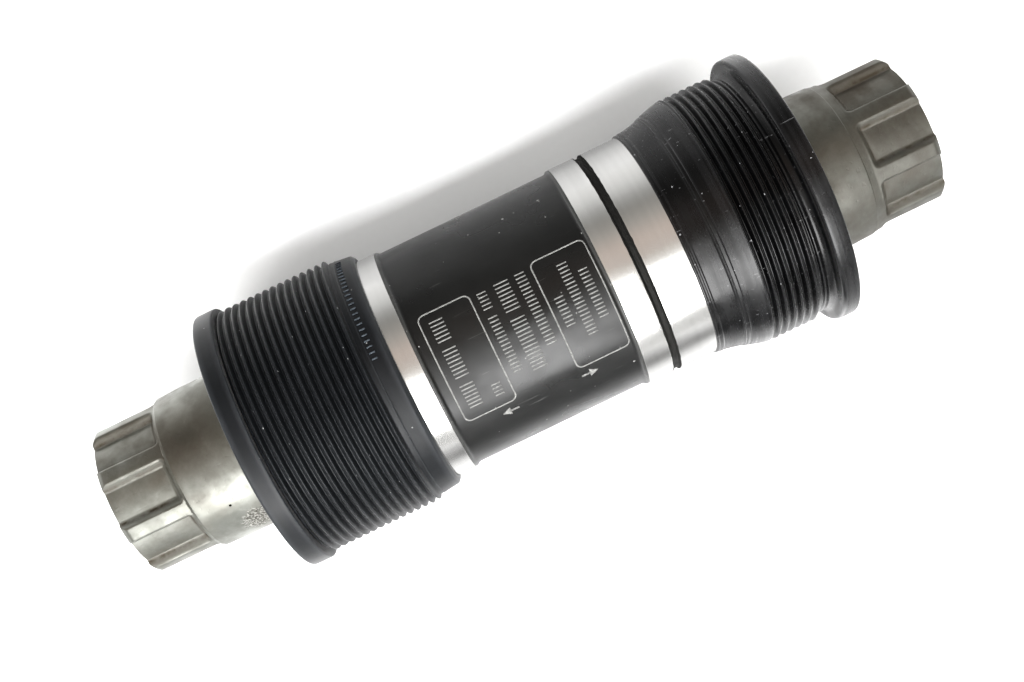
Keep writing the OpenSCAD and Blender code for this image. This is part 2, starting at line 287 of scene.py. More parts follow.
def spindle_shape(radius, station, turn, edge):
    """Cuts the spline spaces and the bolt threads. The wear value marks the foot of the spline walls."""
    outside = np.abs(station)
    end_face = outside > SPINDLE_END - 1e-4
    rim_r = radius[end_face].max()
    mouth_r = BOLT_CREST_R + COUNTERSINK
    depth, corner = spline_depth(station, turn)
    cut = np.minimum(radius, SPLINE_R - depth)
    rim = np.minimum(rim_r, SPLINE_R - depth)
    face = mouth_r + (radius - mouth_r) * (rim - mouth_r) / (rim_r - mouth_r)
    in_splines = (outside > SPINDLE_END - SPLINE_LENGTH) & (radius > mouth_r)
    shaped = np.where(in_splines, np.where(end_face, face, cut), radius)
    from_end = SPINDLE_END - outside
    tapped = (radius < BOLT_CREST_R + CLOSE) & (from_end > COUNTERSINK) & (from_end < BOLT_DEPTH)
    along = station - BOLT_PITCH * turn / math.tau
    groove = 1 - ridge(along, BOLT_PITCH, BOLT_CREST_W, BOLT_FLANK_W)
    shaped = np.where(tapped, radius + (BOLT_ROOT_R - BOLT_CREST_R) * groove, shaped)
    return shaped, station, np.where(in_splines & ~end_face, corner, 0)


def build_spindle():
    left = spindle_side(-1, -LEFT_SHOULDER, -LEFT_COLLAR_EDGE, 0.35)
    drive = spindle_side(1, DRIVE_SHOULDER, DRIVE_COLLAR_EDGE, 1.0)
    corners = left[::-1] + drive + spindle_bore(1) + spindle_bore(-1)[::-1]
    return revolve("hollow_spindle", outline(corners), spline_turns(), spindle_shape)


LEFT_FLANGE_W = 2.65
LEFT_FLANGE_IN = LEFT_FACE + LEFT_FLANGE_W
LEFT_CRESTS = 15
LEFT_FIRST_CREST = LEFT_FLANGE_IN + 0.7
LEFT_LAST_CREST = LEFT_FIRST_CREST + (LEFT_CRESTS - 1) * PITCH
LEFT_LIP_END = TUBE_START - 0.1
LEFT_SOCKET_FLOOR = LEFT_LIP_END - CUP_LIP_W
LEFT_THREAD_STEP = PITCH / 14
LEFT_CUP_BORE_R = BODY_R + 0.05


def left_cup_shape(radius, station, turn, edge):
    """Raises the right-hand shell thread and opens the socket's notches."""
    on_root = (np.abs(radius - THREAD_ROOT_R) < 0.001) & (station > LEFT_FLANGE_IN)
    thread = shell_thread(station, turn, LEFT_FIRST_CREST, LEFT_LAST_CREST, RIGHT_HAND) * on_root
    shaped = cut_socket(radius, turn, station < LEFT_SOCKET_FLOOR + CLOSE) + THREAD_DEPTH * thread
    return shaped, station, np.maximum(edge, 0.35 * thread**3)


def build_left_cup():
    thread_end = LEFT_LAST_CREST + 1.0
    band_r = THREAD_ROOT_R + 0.04
    corners = [
        Corner(TOOL_TIP_R + SOCKET_CHAMFER, LEFT_FACE, 0.08),
        Corner(LEFT_FLANGE_R, LEFT_FACE, 0.35),
        Corner(LEFT_FLANGE_R, LEFT_FLANGE_IN, 0.25),
        Corner(THREAD_ROOT_R - 0.1, LEFT_FLANGE_IN, 0.12, 0.1),
        Corner(THREAD_ROOT_R, LEFT_FLANGE_IN + 0.2, 0.05, LEFT_THREAD_STEP),
        Corner(THREAD_ROOT_R, thread_end, 0, LEFT_THREAD_STEP),
        Corner(band_r, thread_end + 0.15, 0.05, 0.4),
        Corner(band_r - 0.05, LEFT_CUP_END - 2.4, 1.0, 0.6),
        Corner(band_r - 0.28, LEFT_CUP_END - 0.42, 0.15, 0.6),
        Corner(band_r - 0.75, LEFT_CUP_END, 0.15, 0.2),
        Corner(LEFT_CUP_BORE_R, LEFT_CUP_END, 0.12, 3),
        Corner(LEFT_CUP_BORE_R, LEFT_LIP_END, 0.1),
        Corner(CUP_LIP_R, LEFT_LIP_END, 0.1),
        Corner(CUP_LIP_R, LEFT_SOCKET_FLOOR, 0.12, 0.4),
        Corner(TOOL_TIP_R, LEFT_SOCKET_FLOOR, 0.1, 1.2),
        Corner(TOOL_TIP_R, LEFT_FACE + SOCKET_CHAMFER, 0.1),
    ]
    return revolve("left_adapter_cup", outline(corners), even_turns(CUP_COLUMNS), left_cup_shape)


DRIVE_CRESTS = 7
DRIVE_FLANGE_W = 2.5
DRIVE_FLANGE_START = DRIVE_FACE - DRIVE_FLANGE_W
DRIVE_FIRST_CREST = DRIVE_FLANGE_START - 8.95
DRIVE_LAST_CREST = DRIVE_FIRST_CREST + (DRIVE_CRESTS - 1) * PITCH
DRIVE_THREAD_END = DRIVE_LAST_CREST + 0.72
DRIVE_SOCKET_FLOOR = HOUSING_END + CUP_LIP_W
DRIVE_THREAD_STEP = PITCH / 16


def drive_cup_shape(radius, station, turn, edge):
    """Raises the left-hand shell thread and opens the socket's notches."""
    ridged = (radius > THREAD_ROOT_R - CLOSE) & (radius < THREAD_R)
    ridged &= (station > DRIVE_FIRST_CREST - 0.4) & (station < DRIVE_THREAD_END)
    thread = shell_thread(station, turn, DRIVE_FIRST_CREST, DRIVE_LAST_CREST, LEFT_HAND) * ridged
    crested = np.maximum(radius, THREAD_ROOT_R + THREAD_DEPTH * thread)
    shaped = cut_socket(np.where(ridged, crested, radius), turn, station > DRIVE_SOCKET_FLOOR - CLOSE)
    return shaped, station, np.maximum(edge, 0.2 * thread**3)


def drive_neck():
    """Corners of the cup's inner end: a thin rim, a hollow taper with a fine groove, a step, a cone."""
    rim_r = BODY_R + 0.25
    step_at, step_r = 25.3, 16.5
    taper_at, taper_r = DRIVE_CUP_END + 1.0, rim_r + 0.04
    taper = [
        Corner(taper_r + (step_r - taper_r) * t**1.35, taper_at + (step_at - taper_at) * t, 0.05, 0.25)
        for t in (0.15, 0.3, 0.45, 0.6, 0.75)
    ]
    groove_at = step_at - 0.5
    return [
        Corner(BODY_R, DRIVE_CUP_END, 0.02),
        Corner(rim_r, DRIVE_CUP_END, 0.3, 0.1),
        Corner(rim_r - 0.05, DRIVE_CUP_END + 0.5, 0.1, 0.1),
        Corner(rim_r + 0.08, DRIVE_CUP_END + 0.75, 0.12, 0.1),
        Corner(taper_r, taper_at, 0.06, 0.25),
        *taper,
        Corner(16.38, groove_at - 0.12, 0.04, 0.1),
        Corner(16.35, groove_at, 0.05, 0.1),
        Corner(16.46, groove_at + 0.12, 0.04, 0.1),
        Corner(step_r, step_at, 0.04, 0.1),
        Corner(step_r + 0.13, step_at + 0.12, 0.06, 0.2),
        Corner(17.12, DRIVE_FIRST_CREST - 0.95, 0.4, 0.2),
        Corner(17.3, DRIVE_FIRST_CREST - 0.1, 0.12, 0.08),
        Corner(THREAD_ROOT_R, DRIVE_FIRST_CREST + 0.35, 0.05, DRIVE_THREAD_STEP),
    ]


def build_drive_cup():
    relief = DRIVE_THREAD_END + 0.12
    relief_r = THREAD_ROOT_R - 0.25
    corners = [
        *drive_neck(),
        Corner(THREAD_ROOT_R, DRIVE_THREAD_END, 0, DRIVE_THREAD_STEP),
        Corner(relief_r, relief, 0.06, 0.1),
        Corner(relief_r, relief + 0.1, 0.06, 0.1),
        Corner(THREAD_ROOT_R + 0.05, relief + 0.3, 0.12, 0.1),
        Corner(THREAD_ROOT_R - 0.1, relief + 0.9, 0.2, 0.15),
        Corner(THREAD_ROOT_R + 0.2, DRIVE_FLANGE_START, 0.85, 0.2),
        Corner(DRIVE_FLANGE_R - 0.05, DRIVE_FLANGE_START, 0.5, 0.3),
        Corner(DRIVE_FLANGE_R, DRIVE_FLANGE_START + 1.2, 0.1, 0.4),
        Corner(DRIVE_FLANGE_R, DRIVE_FACE, 0.4, 0.5),
        Corner(TOOL_TIP_R + SOCKET_CHAMFER, DRIVE_FACE, 0.08, 0.3),
        Corner(TOOL_TIP_R, DRIVE_FACE - SOCKET_CHAMFER, 0.1, 1.2),
        Corner(TOOL_TIP_R, DRIVE_SOCKET_FLOOR, 0.1, 0.4),
        Corner(CUP_LIP_R, DRIVE_SOCKET_FLOOR, 0.12),
        Corner(CUP_LIP_R, HOUSING_END, 0.1),
        Corner(BODY_R, HOUSING_END, 0.05, 3),
    ]
    return revolve("drive_fixed_cup", outline(corners), even_turns(CUP_COLUMNS), drive_cup_shape)


def build_body_tube():
    joint_bed_end = 22.7
    bore_r = 13.8
    corners = [
        Corner(SEAT_R, TUBE_START, 0.1),
        Corner(BODY_R, TUBE_START, 0.3, 0.8),
        Corner(BODY_R, SLEEVE_START, 0.05),
        Corner(SLEEVE_BED_R, SLEEVE_START, 0.05, 4),
        Corner(SLEEVE_BED_R, SLEEVE_END, 0.05),
        Corner(BODY_R, SLEEVE_END, 0.05, 0.4),
        Corner(BODY_R, JOINT_START, 0.14),
        Corner(SEAT_R, JOINT_START, 0.05, 2),
        Corner(SEAT_R, joint_bed_end, 0.15),
        Corner(bore_r, joint_bed_end, 0.15, 6),
        Corner(bore_r, LEFT_SHOULDER, 0.15),
        Corner(SEAT_R, LEFT_SHOULDER, 0.1, 2),
    ]
    return revolve("steel_body_tube", outline(corners), even_turns(BODY_COLUMNS))


def build_drive_housing():
    stop_r, stop_w = 13.6, 1.2
    corners = [
        Corner(SEAT_R, HOUSING_START, 0.05),
        Corner(BODY_R, HOUSING_START, 0.14, 0.4),
        Corner(BODY_R, HOUSING_END, 0.2),
        Corner(SEAT_R, HOUSING_END, 0.15, 2),
        Corner(SEAT_R, DRIVE_SHOULDER, 0.05),
        Corner(stop_r, DRIVE_SHOULDER, 0.1),
        Corner(stop_r, DRIVE_SHOULDER - stop_w, 0.1),
        Corner(SEAT_R, DRIVE_SHOULDER - stop_w, 0.05, 2),
    ]
    return revolve("drive_bearing_shell", outline(corners), even_turns(BODY_COLUMNS))


SLEEVE_R = 15.1
SLEEVE_LIP_W = 0.3


def sleeve_shape(radius, station, turn, edge):
    """The sleeve's two lips are a little uneven, as a thin moulded skin is."""
    lip = soft_step((radius - SLEEVE_R) / (BODY_R - SLEEVE_R), 0.2)
    left = station < 0
    drift = np.where(left, ripple(turn, 3, 0.05), ripple(turn, 4, 0.05, (4, 7, 11, 19)))
    inner = np.abs(station - np.where(left, SLEEVE_START, SLEEVE_END)) > 0.12
    dip = ripple(turn, 5, 0.02, (6, 10, 17, 23)) - 0.02
    return radius + lip * dip, station + drift * lip * inner, edge


def build_sleeve():
    slope = 0.3
    corners = [
        Corner(SLEEVE_BED_R, SLEEVE_START, 0.02),
        Corner(BODY_R, SLEEVE_START, 0.06, 0.2),
        Corner(BODY_R, SLEEVE_START + SLEEVE_LIP_W, 0.15, 0.1),
        Corner(SLEEVE_R, SLEEVE_START + SLEEVE_LIP_W + slope, 0.25, 0.35),
        Corner(SLEEVE_R, SLEEVE_END - SLEEVE_LIP_W - slope, 0.25, 0.1),
        Corner(BODY_R, SLEEVE_END - SLEEVE_LIP_W, 0.15, 0.2),
        Corner(BODY_R, SLEEVE_END, 0.06),
        Corner(SLEEVE_BED_R, SLEEVE_END, 0.02, 4),
    ]
    return revolve("black_sleeve", outline(corners), even_turns(BODY_COLUMNS), sleeve_shape)


JOINT_LIP_W = 0.07


def joint_shape(radius, station, turn, edge):
    """The ring is squeezed unevenly between the two steel pieces, and its lips over them are ragged."""
    outer = soft_step((radius - SEAT_R - 0.2) / 0.4, 0.2)
    middle = (JOINT_START + JOINT_END) / 2
    on_lip = np.abs(station - middle) > (JOINT_END - JOINT_START) / 2 + CLOSE
    side = np.sign(station - middle) * on_lip
    left_edge = ripple(turn, 9, JOINT_LIP_W, (29, 43, 61, 83))
    drive_edge = ripple(turn, 10, JOINT_LIP_W, (31, 47, 71, 89))
    ragged = np.where(side < 0, left_edge, drive_edge)
    return radius + outer * ripple(turn, 8, 0.04, (7, 12, 19, 31)), station + side * ragged, edge


def build_joint_seal():
    top_r = 15.15
    lip_r = BODY_R + 0.03
    corners = [
        Corner(SEAT_R, JOINT_START, 0.02, 0.2),
        Corner(BODY_R - 0.2, JOINT_START, 0.02, 0.1),
        Corner(BODY_R - 0.12, JOINT_START - JOINT_LIP_W, 0.02, 0.1),
        Corner(lip_r, JOINT_START - JOINT_LIP_W, 0.03, 0.1),
        Corner(lip_r - 0.02, JOINT_START + 0.05, 0.05, 0.1),
        Corner(top_r, JOINT_START + 0.2, 0.15, 0.1),
        Corner(top_r, JOINT_END - 0.2, 0.15, 0.1),
        Corner(lip_r - 0.02, JOINT_END - 0.05, 0.05, 0.1),
        Corner(lip_r, JOINT_END + JOINT_LIP_W, 0.03, 0.1),
        Corner(BODY_R - 0.12, JOINT_END + JOINT_LIP_W, 0.02, 0.1),
        Corner(BODY_R - 0.2, JOINT_END, 0.02, 0.1),
        Corner(SEAT_R, JOINT_END, 0.02, 0.3),
    ]
    return revolve("joint_ring", outline(corners), even_turns(CUP_COLUMNS), joint_shape)


# ---- Marks: plain frames, bars and arrows, with no lettering ----

MARK_LINE = 0.18
MARK_ROOT = 0.03             # how far a mark's underside is sunk into its surface
MARK_STEP = 0.4


class Marks:
    """Collects thin strips raised on a round surface. A place is (station, distance round it) in mm."""

    def __init__(self, surface_r, height):
        self.surface_r = surface_r
        self.height = height
        self.corners = []
        self.faces = []

    def strip(self, path, widths, closed=False, across=1):
        """A strip along a path, as wide at each place as widths says."""
        path = np.asarray(path, float)
        widths = np.broadcast_to(widths, len(path))
        ahead = np.roll(path, -1, 0) - path
        behind = path - np.roll(path, 1, 0)
        if not closed:
            ahead[-1], behind[0] = behind[-1], ahead[0]
        along = ahead / np.hypot(*ahead.T)[:, None] + behind / np.hypot(*behind.T)[:, None]
        along /= np.hypot(*along.T)[:, None]
        side = np.stack((-along[:, 1], along[:, 0]), 1) * widths[:, None] / 2
        spread = np.linspace(-1, 1, across + 1)
        top = path[:, None] + side[:, None] * spread[None, :, None]
        ring = np.concatenate((top, top[:, ::-1]), 1)
        levels = [self.surface_r + self.height, self.surface_r - MARK_ROOT]
        radius = np.repeat(levels, across + 1)[None, :]
        start = len(self.corners)
        places = at(np.repeat(radius, len(path), 0), ring[..., 0], ring[..., 1] / self.surface_r)
        self.corners += places.reshape(-1, 3).tolist()
        count = 2 * (across + 1)
        for i in range(len(path) - (not closed)):
            here, there = start + i * count, start + (i + 1) % len(path) * count
            for j in range(count):
                beside = (j + 1) % count
                self.faces.append((here + j, there + j, there + beside, here + beside))
        if not closed:
            for base, turned in ((start, 1), (start + (len(path) - 1) * count, -1)):
                for j in range(across):
                    quad = (base + j, base + j + 1, base + count - 2 - j, base + count - 1 - j)
                    self.faces.append(quad[::turned])

    def line(self, start, end, width):
        start, end = np.array(start, float), np.array(end, float)
        steps = max(2, int(np.hypot(*(end - start)) / MARK_STEP) + 1)
        self.strip([start + (end - start) * t for t in np.linspace(0, 1, steps)], width)

    def frame(self, left, right, top, bottom, corner=0.8):
        """A rounded frame."""
        path = []
        centres = (
            (right - corner, bottom - corner),
            (left + corner, bottom - corner),
            (left + corner, top + corner),
            (right - corner, top + corner),
        )
        for k, (station, place) in enumerate(centres):
            for t in np.linspace(0, math.pi / 2, 7):
                angle = k * math.pi / 2 + t
                path.append((station + corner * math.cos(angle), place + corner * math.sin(angle)))
        filled = []
        for here, there in zip(path, path[1:] + path[:1]):
            here, there = np.array(here), np.array(there)
            steps = max(1, int(np.hypot(*(there - here)) / MARK_STEP))
            filled += [here + (there - here) * k / steps for k in range(steps)]
        self.strip(filled, MARK_LINE, closed=True)

    def bars(self, low, high, start, groups, pitch=0.52, width=0.17, gap=0.7):
        """A row of even bars between two stations, in groups, running round the surface."""
        place = start
        for group in groups:
            for _ in range(group):
                self.line((low, place), (high, place), width)
                place += pitch
            place += gap

    def arrow(self, tail, tip, across):
        """A short arrow along the spindle, from tail to tip."""
        neck = (tail + tip) / 2
        self.line((tail, across), (neck, across), 0.3)
        head = [(station, across) for station in np.linspace(neck, tip, 6)]
        self.strip(head, np.linspace(1.2, 0.06, 6), across=6)


def build_cup_ribs():
    """Low moulded bars on the plain band of the left cup."""
    ribs = Marks(THREAD_ROOT_R - 0.04, 0.09)
    round_mm = ribs.surface_r * math.radians(1)
    ribs.bars(low=-18.5, high=-17.75, start=-72 * round_mm, groups=(24,), pitch=0.8, width=0.2)
    return mesh_object("cup_index_ribs", ribs.corners, ribs.faces)


def build_marks():
    marks = Marks(SLEEVE_R, 0.012)
    round_mm = SLEEVE_R * math.radians(1)
    marks.frame(-11.7, -4.85, -18.5 * round_mm, 38.1 * round_mm)
    marks.frame(3.45, 10.6, -18.8 * round_mm, 38.1 * round_mm)
    marks.bars(-10.6, -8.8, -13.5 * round_mm, (6, 8, 7))
    marks.bars(-7.1, -5.9, 25.5 * round_mm, (4,))
    marks.bars(-3.9, -2.7, -16 * round_mm, (5, 15))
    marks.bars(-1.6, 0.3, -16.5 * round_mm, (8, 14))
    marks.bars(1.2, 2.5, -16.5 * round_mm, (19,))
    marks.bars(4.3, 5.5, 1.5 * round_mm, (8,))
    marks.bars(6.3, 7.6, -12 * round_mm, (19,))
    marks.bars(8.4, 9.6, -5.5 * round_mm, (13,))
    marks.arrow(-5.1, -7.3, 43.5 * round_mm)
    marks.arrow(3.5, 5.7, 43.5 * round_mm)
    return mesh_object("sleeve_marks", marks.corners, marks.faces)


# ---- Materials ----


def node(tree, kind, inputs=None, **settings):
    """Adds a shader node. An input is a value, or the socket that feeds it."""
    made = tree.nodes.new("ShaderNode" + kind)
    for name, value in settings.items():
        setattr(made, name, value)
    for key, value in (inputs or {}).items():
        if isinstance(value, bpy.types.NodeSocket):
            tree.links.new(value, made.inputs[key])
        else:
            made.inputs[key].default_value = value
    return made


def maths(tree, operation, a, b):
    return node(tree, "Math", {0: a, 1: b}, operation=operation).outputs[0]


def product(tree, a, b):
    return maths(tree, "MULTIPLY", a, b)


def larger(tree, a, b):
    return maths(tree, "MAXIMUM", a, b)


def place_in(tree):
    """The shaded point, in metres in the object's own space."""
    return node(tree, "TexCoord").outputs["Object"]


def rising(tree, value, start, end, kind="LINEAR"):
    """0 where value is start, 1 where it is end, and flat past both."""
    inputs = {"Value": value, "From Min": start, "From Max": end}
    return node(tree, "MapRange", inputs, interpolation_type=kind).outputs[0]


def noise(tree, scale, detail=3, rough=0.5, shift=0.0):
    """Noise with scale waves per metre along X, Y and Z. shift moves it, so that two don't agree."""
    place = place_in(tree)
    scaled = node(tree, "Mapping", {"Vector": place, "Location": (shift, shift, shift), "Scale": scale})
    inputs = {"Vector": scaled.outputs[0], "Scale": 1.0, "Detail": detail, "Roughness": rough}
    return node(tree, "TexNoise", inputs).outputs["Fac"]


def ramp(tree, value, *stops):
    """Straight ramps between (value, number) stops, for numbers that vary over a surface."""
    made = node(tree, "ValToRGB", {"Fac": value})
    fill_ramp(made.color_ramp, [(place, (number,) * 3) for place, number in stops])
    return made.outputs["Color"]


def fill_ramp(color_ramp, stops):
    elements = color_ramp.elements
    while len(elements) < len(stops):
        elements.new(1.0)
    for element, (place, colour) in zip(elements, stops):
        element.position = place
    for element, (place, colour) in zip(elements, stops):
        element.color = (*colour, 1)


def mixed(tree, share, a, b):
    """Colour a where share is 0 and b where it is 1."""
    made = node(tree, "Mix", data_type="RGBA")
    for socket, value in ((made.inputs[0], share), (made.inputs[6], a), (made.inputs[7], b)):
        if isinstance(value, bpy.types.NodeSocket):
            tree.links.new(value, socket)
        else:
            socket.default_value = (*value, 1) if isinstance(value, tuple) else value
    return made.outputs[2]


def specks(tree, cells, size, share):
    """Small scattered dots: 1 inside a dot and 0 elsewhere. cells is how many cells there are to a metre,
    size a dot's radius as a share of a cell, and share how many of the cells have a dot."""
    cell = node(tree, "TexVoronoi", {"Vector": place_in(tree), "Scale": cells})
    near = maths(tree, "LESS_THAN", cell.outputs["Distance"], size)
    draw = node(tree, "SeparateColor", {0: cell.outputs["Color"]}).outputs[0]
    return product(tree, near, maths(tree, "LESS_THAN", draw, share))


def patch(tree, centre, size):
    """1 at a place given in mm, falling smoothly to 0 at a distance of size mm from it."""
    ends = {0: place_in(tree), 1: tuple(value * MM for value in centre)}
    away = node(tree, "VectorMath", ends, operation="DISTANCE").outputs["Value"]
    return rising(tree, away, size * MM, 0.0, "SMOOTHSTEP")


def bumped(tree, *layers):
    """A normal from (height, distance in mm) layers, one on the other."""
    normal = None
    for height, distance in layers:
        inputs = {"Height": height, "Distance": distance * MM, "Strength": 1.0}
        if normal:
            inputs["Normal"] = normal
        normal = node(tree, "Bump", inputs).outputs[0]
    return normal


def wear_and_wall_foot(tree):
    return node(tree, "Attribute", attribute_name="wear").outputs["Fac"]


def material(name, build):
    """A material whose Principled shader's inputs come from build(tree)."""
    made = bpy.data.materials.new(name)
    made.use_nodes = True
    tree = made.node_tree
    shader = tree.nodes["Principled BSDF"]
    for key, value in build(tree).items():
        if isinstance(value, bpy.types.NodeSocket):
            tree.links.new(value, shader.inputs[key])
        else:
            shader.inputs[key].default_value = value
    return made


GRAIN = (45, 9000, 45)       # turning marks: fine along the spindle and long round it


def bright_steel(tree):
    """Turned steel, bright, with fine turning marks and a few handling smears."""
    grain = noise(tree, GRAIN, 2)
    bands = noise(tree, (12, 900, 12), 3, shift=4)
    smears = noise(tree, (160, 90, 160), 4, 0.6, shift=9)
    colour = mixed(tree, bands, (0.70, 0.695, 0.68), (0.82, 0.815, 0.80))
    pits = specks(tree, 420, 0.07, 0.12)
    colour = mixed(tree, pits, colour, (0.10, 0.09, 0.08))
    return {
        "Base Color": colour,
        "Metallic": 1.0,
        "Roughness": ramp(tree, smears, (0.35, 0.17), (0.7, 0.27)),
        "Normal": bumped(tree, (grain, 0.004), (smears, 0.02)),
    }


def spindle_tones(tree, mottle, clouds):
    """The spindle's clean colour, and how far a point is into its dull drive end, from 0 to 1."""
    along = node(tree, "SeparateXYZ", {0: place_in(tree)}).outputs["Y"]
    dull = rising(tree, along, -0.02, -0.03)
    bright_end = mixed(tree, mottle, (0.19, 0.196, 0.172), (0.38, 0.388, 0.357))
    dull_end = mixed(tree, mottle, (0.125, 0.124, 0.111), (0.24, 0.24, 0.217))
    clean = mixed(tree, dull, bright_end, dull_end)
    cloudy = ramp(tree, clouds, (0.42, 0.0), (0.66, 0.35))
    return mixed(tree, cloudy, clean, (0.14, 0.123, 0.105)), dull


def rust_patch(tree):
    """A ragged patch by the left cup: where its pale raised flecks are, and where its dark crust is."""
    blotches = noise(tree, (520, 620, 520), 3, 0.6, shift=23)
    flecks = noise(tree, (4300, 3300, 4300), 2, 0.5, shift=17)
    near = patch(tree, (-9.0, 40.6, 5.6), 3.6)
    ragged = product(tree, near, ramp(tree, blotches, (0.4, 0.0), (0.6, 2.4)))
    within = ramp(tree, ragged, (0.15, 0.0), (0.6, 1.0))
    pale = product(tree, within, ramp(tree, flecks, (0.52, 0.0), (0.60, 1.0)))
    crust = product(tree, within, ramp(tree, flecks, (0.38, 0.8), (0.46, 0.0)))
    return pale, crust


def spindle_steel(tree):
    """Forged and ground steel, duller than the body and dullest at the drive end, with brown stains, small
    pits, a patch of rust on the left end, and a darker, less metallic colour at the foot of the spline
    walls."""
    grain = noise(tree, GRAIN, 2)
    mottle = noise(tree, (420, 420, 420), 5, 0.65)
    clouds = noise(tree, (150, 190, 150), 4, 0.62, shift=12)
    stains = noise(tree, (110, 70, 110), 4, 0.6, shift=3)
    pits = noise(tree, (1500, 1500, 1500), 2, 0.5, shift=7)
    clean, dull = spindle_tones(tree, mottle, clouds)
    brown = product(tree, patch(tree, (5.0, 45.0, 10.0), 9.0), 0.7)
    stain = larger(tree, ramp(tree, stains, (0.5, 0.0), (0.72, 0.6)), brown)
    bare = mixed(tree, stain, clean, (0.10, 0.083, 0.067))
    bare = mixed(tree, specks(tree, 330, 0.06, 0.10), bare, (0.012, 0.011, 0.010))
    bare = mixed(tree, specks(tree, 410, 0.05, 0.08), bare, (0.75, 0.75, 0.72))
    pale, crust = rust_patch(tree)
    bare = mixed(tree, pale, mixed(tree, crust, bare, (0.08, 0.072, 0.058)), (0.60, 0.59, 0.55))
    # On the spindle the wear attribute marks the foot of the spline walls. The colour is made darker and
    # less metallic there.
    wall_foot_darkening = product(tree, wear_and_wall_foot(tree), ramp(tree, mottle, (0.35, 0.3), (0.62, 1.0)))
    rough = ramp(tree, clouds, (0.40, 0.35), (0.60, 0.57))
    pitted = ramp(tree, pits, (0.62, 1.0), (0.7, 0.0))
    heights = (grain, 0.003), (clouds, 0.05), (mottle, 0.02), (pitted, 0.01), (pale, 0.05)
    return {
        "Base Color": mixed(tree, wall_foot_darkening, bare, (0.040, 0.032, 0.022)),
        "Metallic": ramp(tree, wall_foot_darkening, (0.0, 1.0), (0.8, 0.35)),
        "Roughness": maths(tree, "ADD", rough, product(tree, dull, 0.06)),
        "Normal": bumped(tree, *heights),
    }


def gloss_black(tree):
    """Glossy black cup: polished streaks round it, soft smears, dust and fine scratches."""
    streaks = noise(tree, (30, 2200, 30), 3, 0.6)
    smears = noise(tree, (260, 260, 260), 4, 0.6, shift=5)
    scratches = noise(tree, (3200, 130, 3200), 2, 0.5, shift=11)
    scratch = ramp(tree, scratches, (0.70, 0.0), (0.74, 1.0))
    dust = larger(tree, specks(tree, 700, 0.08, 0.08), specks(tree, 1500, 0.11, 0.08))
    smeared = ramp(tree, smears, (0.45, 0.0), (0.8, 0.5))
    colour = mixed(tree, smeared, (0.0012, 0.0012, 0.0014), (0.006, 0.0062, 0.007))
    colour = mixed(tree, product(tree, wear_and_wall_foot(tree), 0.1), colour, (0.04, 0.04, 0.042))
    marks = larger(tree, dust, product(tree, scratch, 0.3))
    return {
        "Base Color": mixed(tree, marks, colour, (0.16, 0.16, 0.165)),
        "Roughness": ramp(tree, product(tree, streaks, smears), (0.12, 0.18), (0.42, 0.38)),
        "Normal": bumped(tree, (streaks, 0.012), (smears, 0.03)),
        "Specular IOR Level": 0.5,
        "Sheen Weight": 0.08,
        "Sheen Roughness": 0.3,
    }


def charcoal_plastic(tree):
    """Moulded glass-filled nylon, nearly black and matte, with paler rubbed crests and edges."""
    fine = noise(tree, (5200, 5200, 5200), 3, 0.6)
    smears = noise(tree, (180, 180, 180), 4, 0.6, shift=2)
    dust = larger(tree, specks(tree, 600, 0.07, 0.07), specks(tree, 1300, 0.11, 0.08))
    rubbed = product(tree, wear_and_wall_foot(tree), ramp(tree, smears, (0.2, 0.2), (0.7, 0.6)))
    colour = mixed(tree, smears, (0.0025, 0.003, 0.0038), (0.0075, 0.0085, 0.010))
    colour = mixed(tree, rubbed, colour, (0.025, 0.027, 0.030))
    return {
        "Base Color": mixed(tree, dust, colour, (0.2, 0.2, 0.2)),
        "Roughness": ramp(tree, smears, (0.3, 0.40), (0.7, 0.52)),
        "Normal": bumped(tree, (fine, 0.006), (smears, 0.03)),
        "Specular IOR Level": 0.42,
        "Sheen Weight": 0.14,
        "Sheen Roughness": 0.3,
    }


def satin_sleeve(tree):
    """Thin satin black skin with light scuffs, more of them near its edges."""
    fine = noise(tree, (3000, 3000, 3000), 3, 0.6)
    smears = noise(tree, (200, 120, 200), 4, 0.6, shift=6)
    clouds = noise(tree, (95, 75, 95), 3, 0.55, shift=21)
    scratches = noise(tree, (2600, 160, 2600), 2, 0.5, shift=15)
    scratch = ramp(tree, scratches, (0.72, 0.0), (0.76, 1.0))
    dust = larger(tree, specks(tree, 520, 0.08, 0.12), specks(tree, 1300, 0.12, 0.10))
    colour = mixed(tree, smears, (0.002, 0.002, 0.002), (0.010, 0.0102, 0.010))
    scuffs = larger(tree, product(tree, scratch, 0.15), product(tree, wear_and_wall_foot(tree), 0.15))
    marks = larger(tree, dust, scuffs)
    return {
        "Base Color": mixed(tree, marks, colour, (0.15, 0.15, 0.145)),
        "Roughness": ramp(tree, clouds, (0.38, 0.22), (0.64, 0.46)),
        "Normal": bumped(tree, (fine, 0.004), (smears, 0.03)),
        "Specular IOR Level": 0.5,
        "Sheen Weight": 0.16,
        "Sheen Roughness": 0.3,
    }


def etched_mark(tree):
    """The sleeve's marks: pale grey, a little uneven from wear."""
    fine = noise(tree, (2600, 2600, 2600), 3, 0.6)
    kept = ramp(tree, fine, (0.35, 0.0), (0.6, 1.0))
    return {
        "Base Color": mixed(tree, kept, (0.11, 0.11, 0.106), (0.18, 0.18, 0.172)),
        "Roughness": ramp(tree, fine, (0.3, 0.45), (0.7, 0.65)),
        "Normal": bumped(tree, (fine, 0.01)),
    }


def soft_rubber(tree):
    """Black rubber of the seals, dull and slightly dusty."""
    fine = noise(tree, (2400, 2400, 2400), 4, 0.6)
    dusty = noise(tree, (300, 300, 300), 4, 0.6, shift=8)
    return {
        "Base Color": mixed(tree, dusty, (0.003, 0.003, 0.003), (0.022, 0.0215, 0.020)),
        "Roughness": ramp(tree, dusty, (0.3, 0.55), (0.7, 0.75)),
        "Normal": bumped(tree, (fine, 0.02)),
        "Specular IOR Level": 0.2,
    }


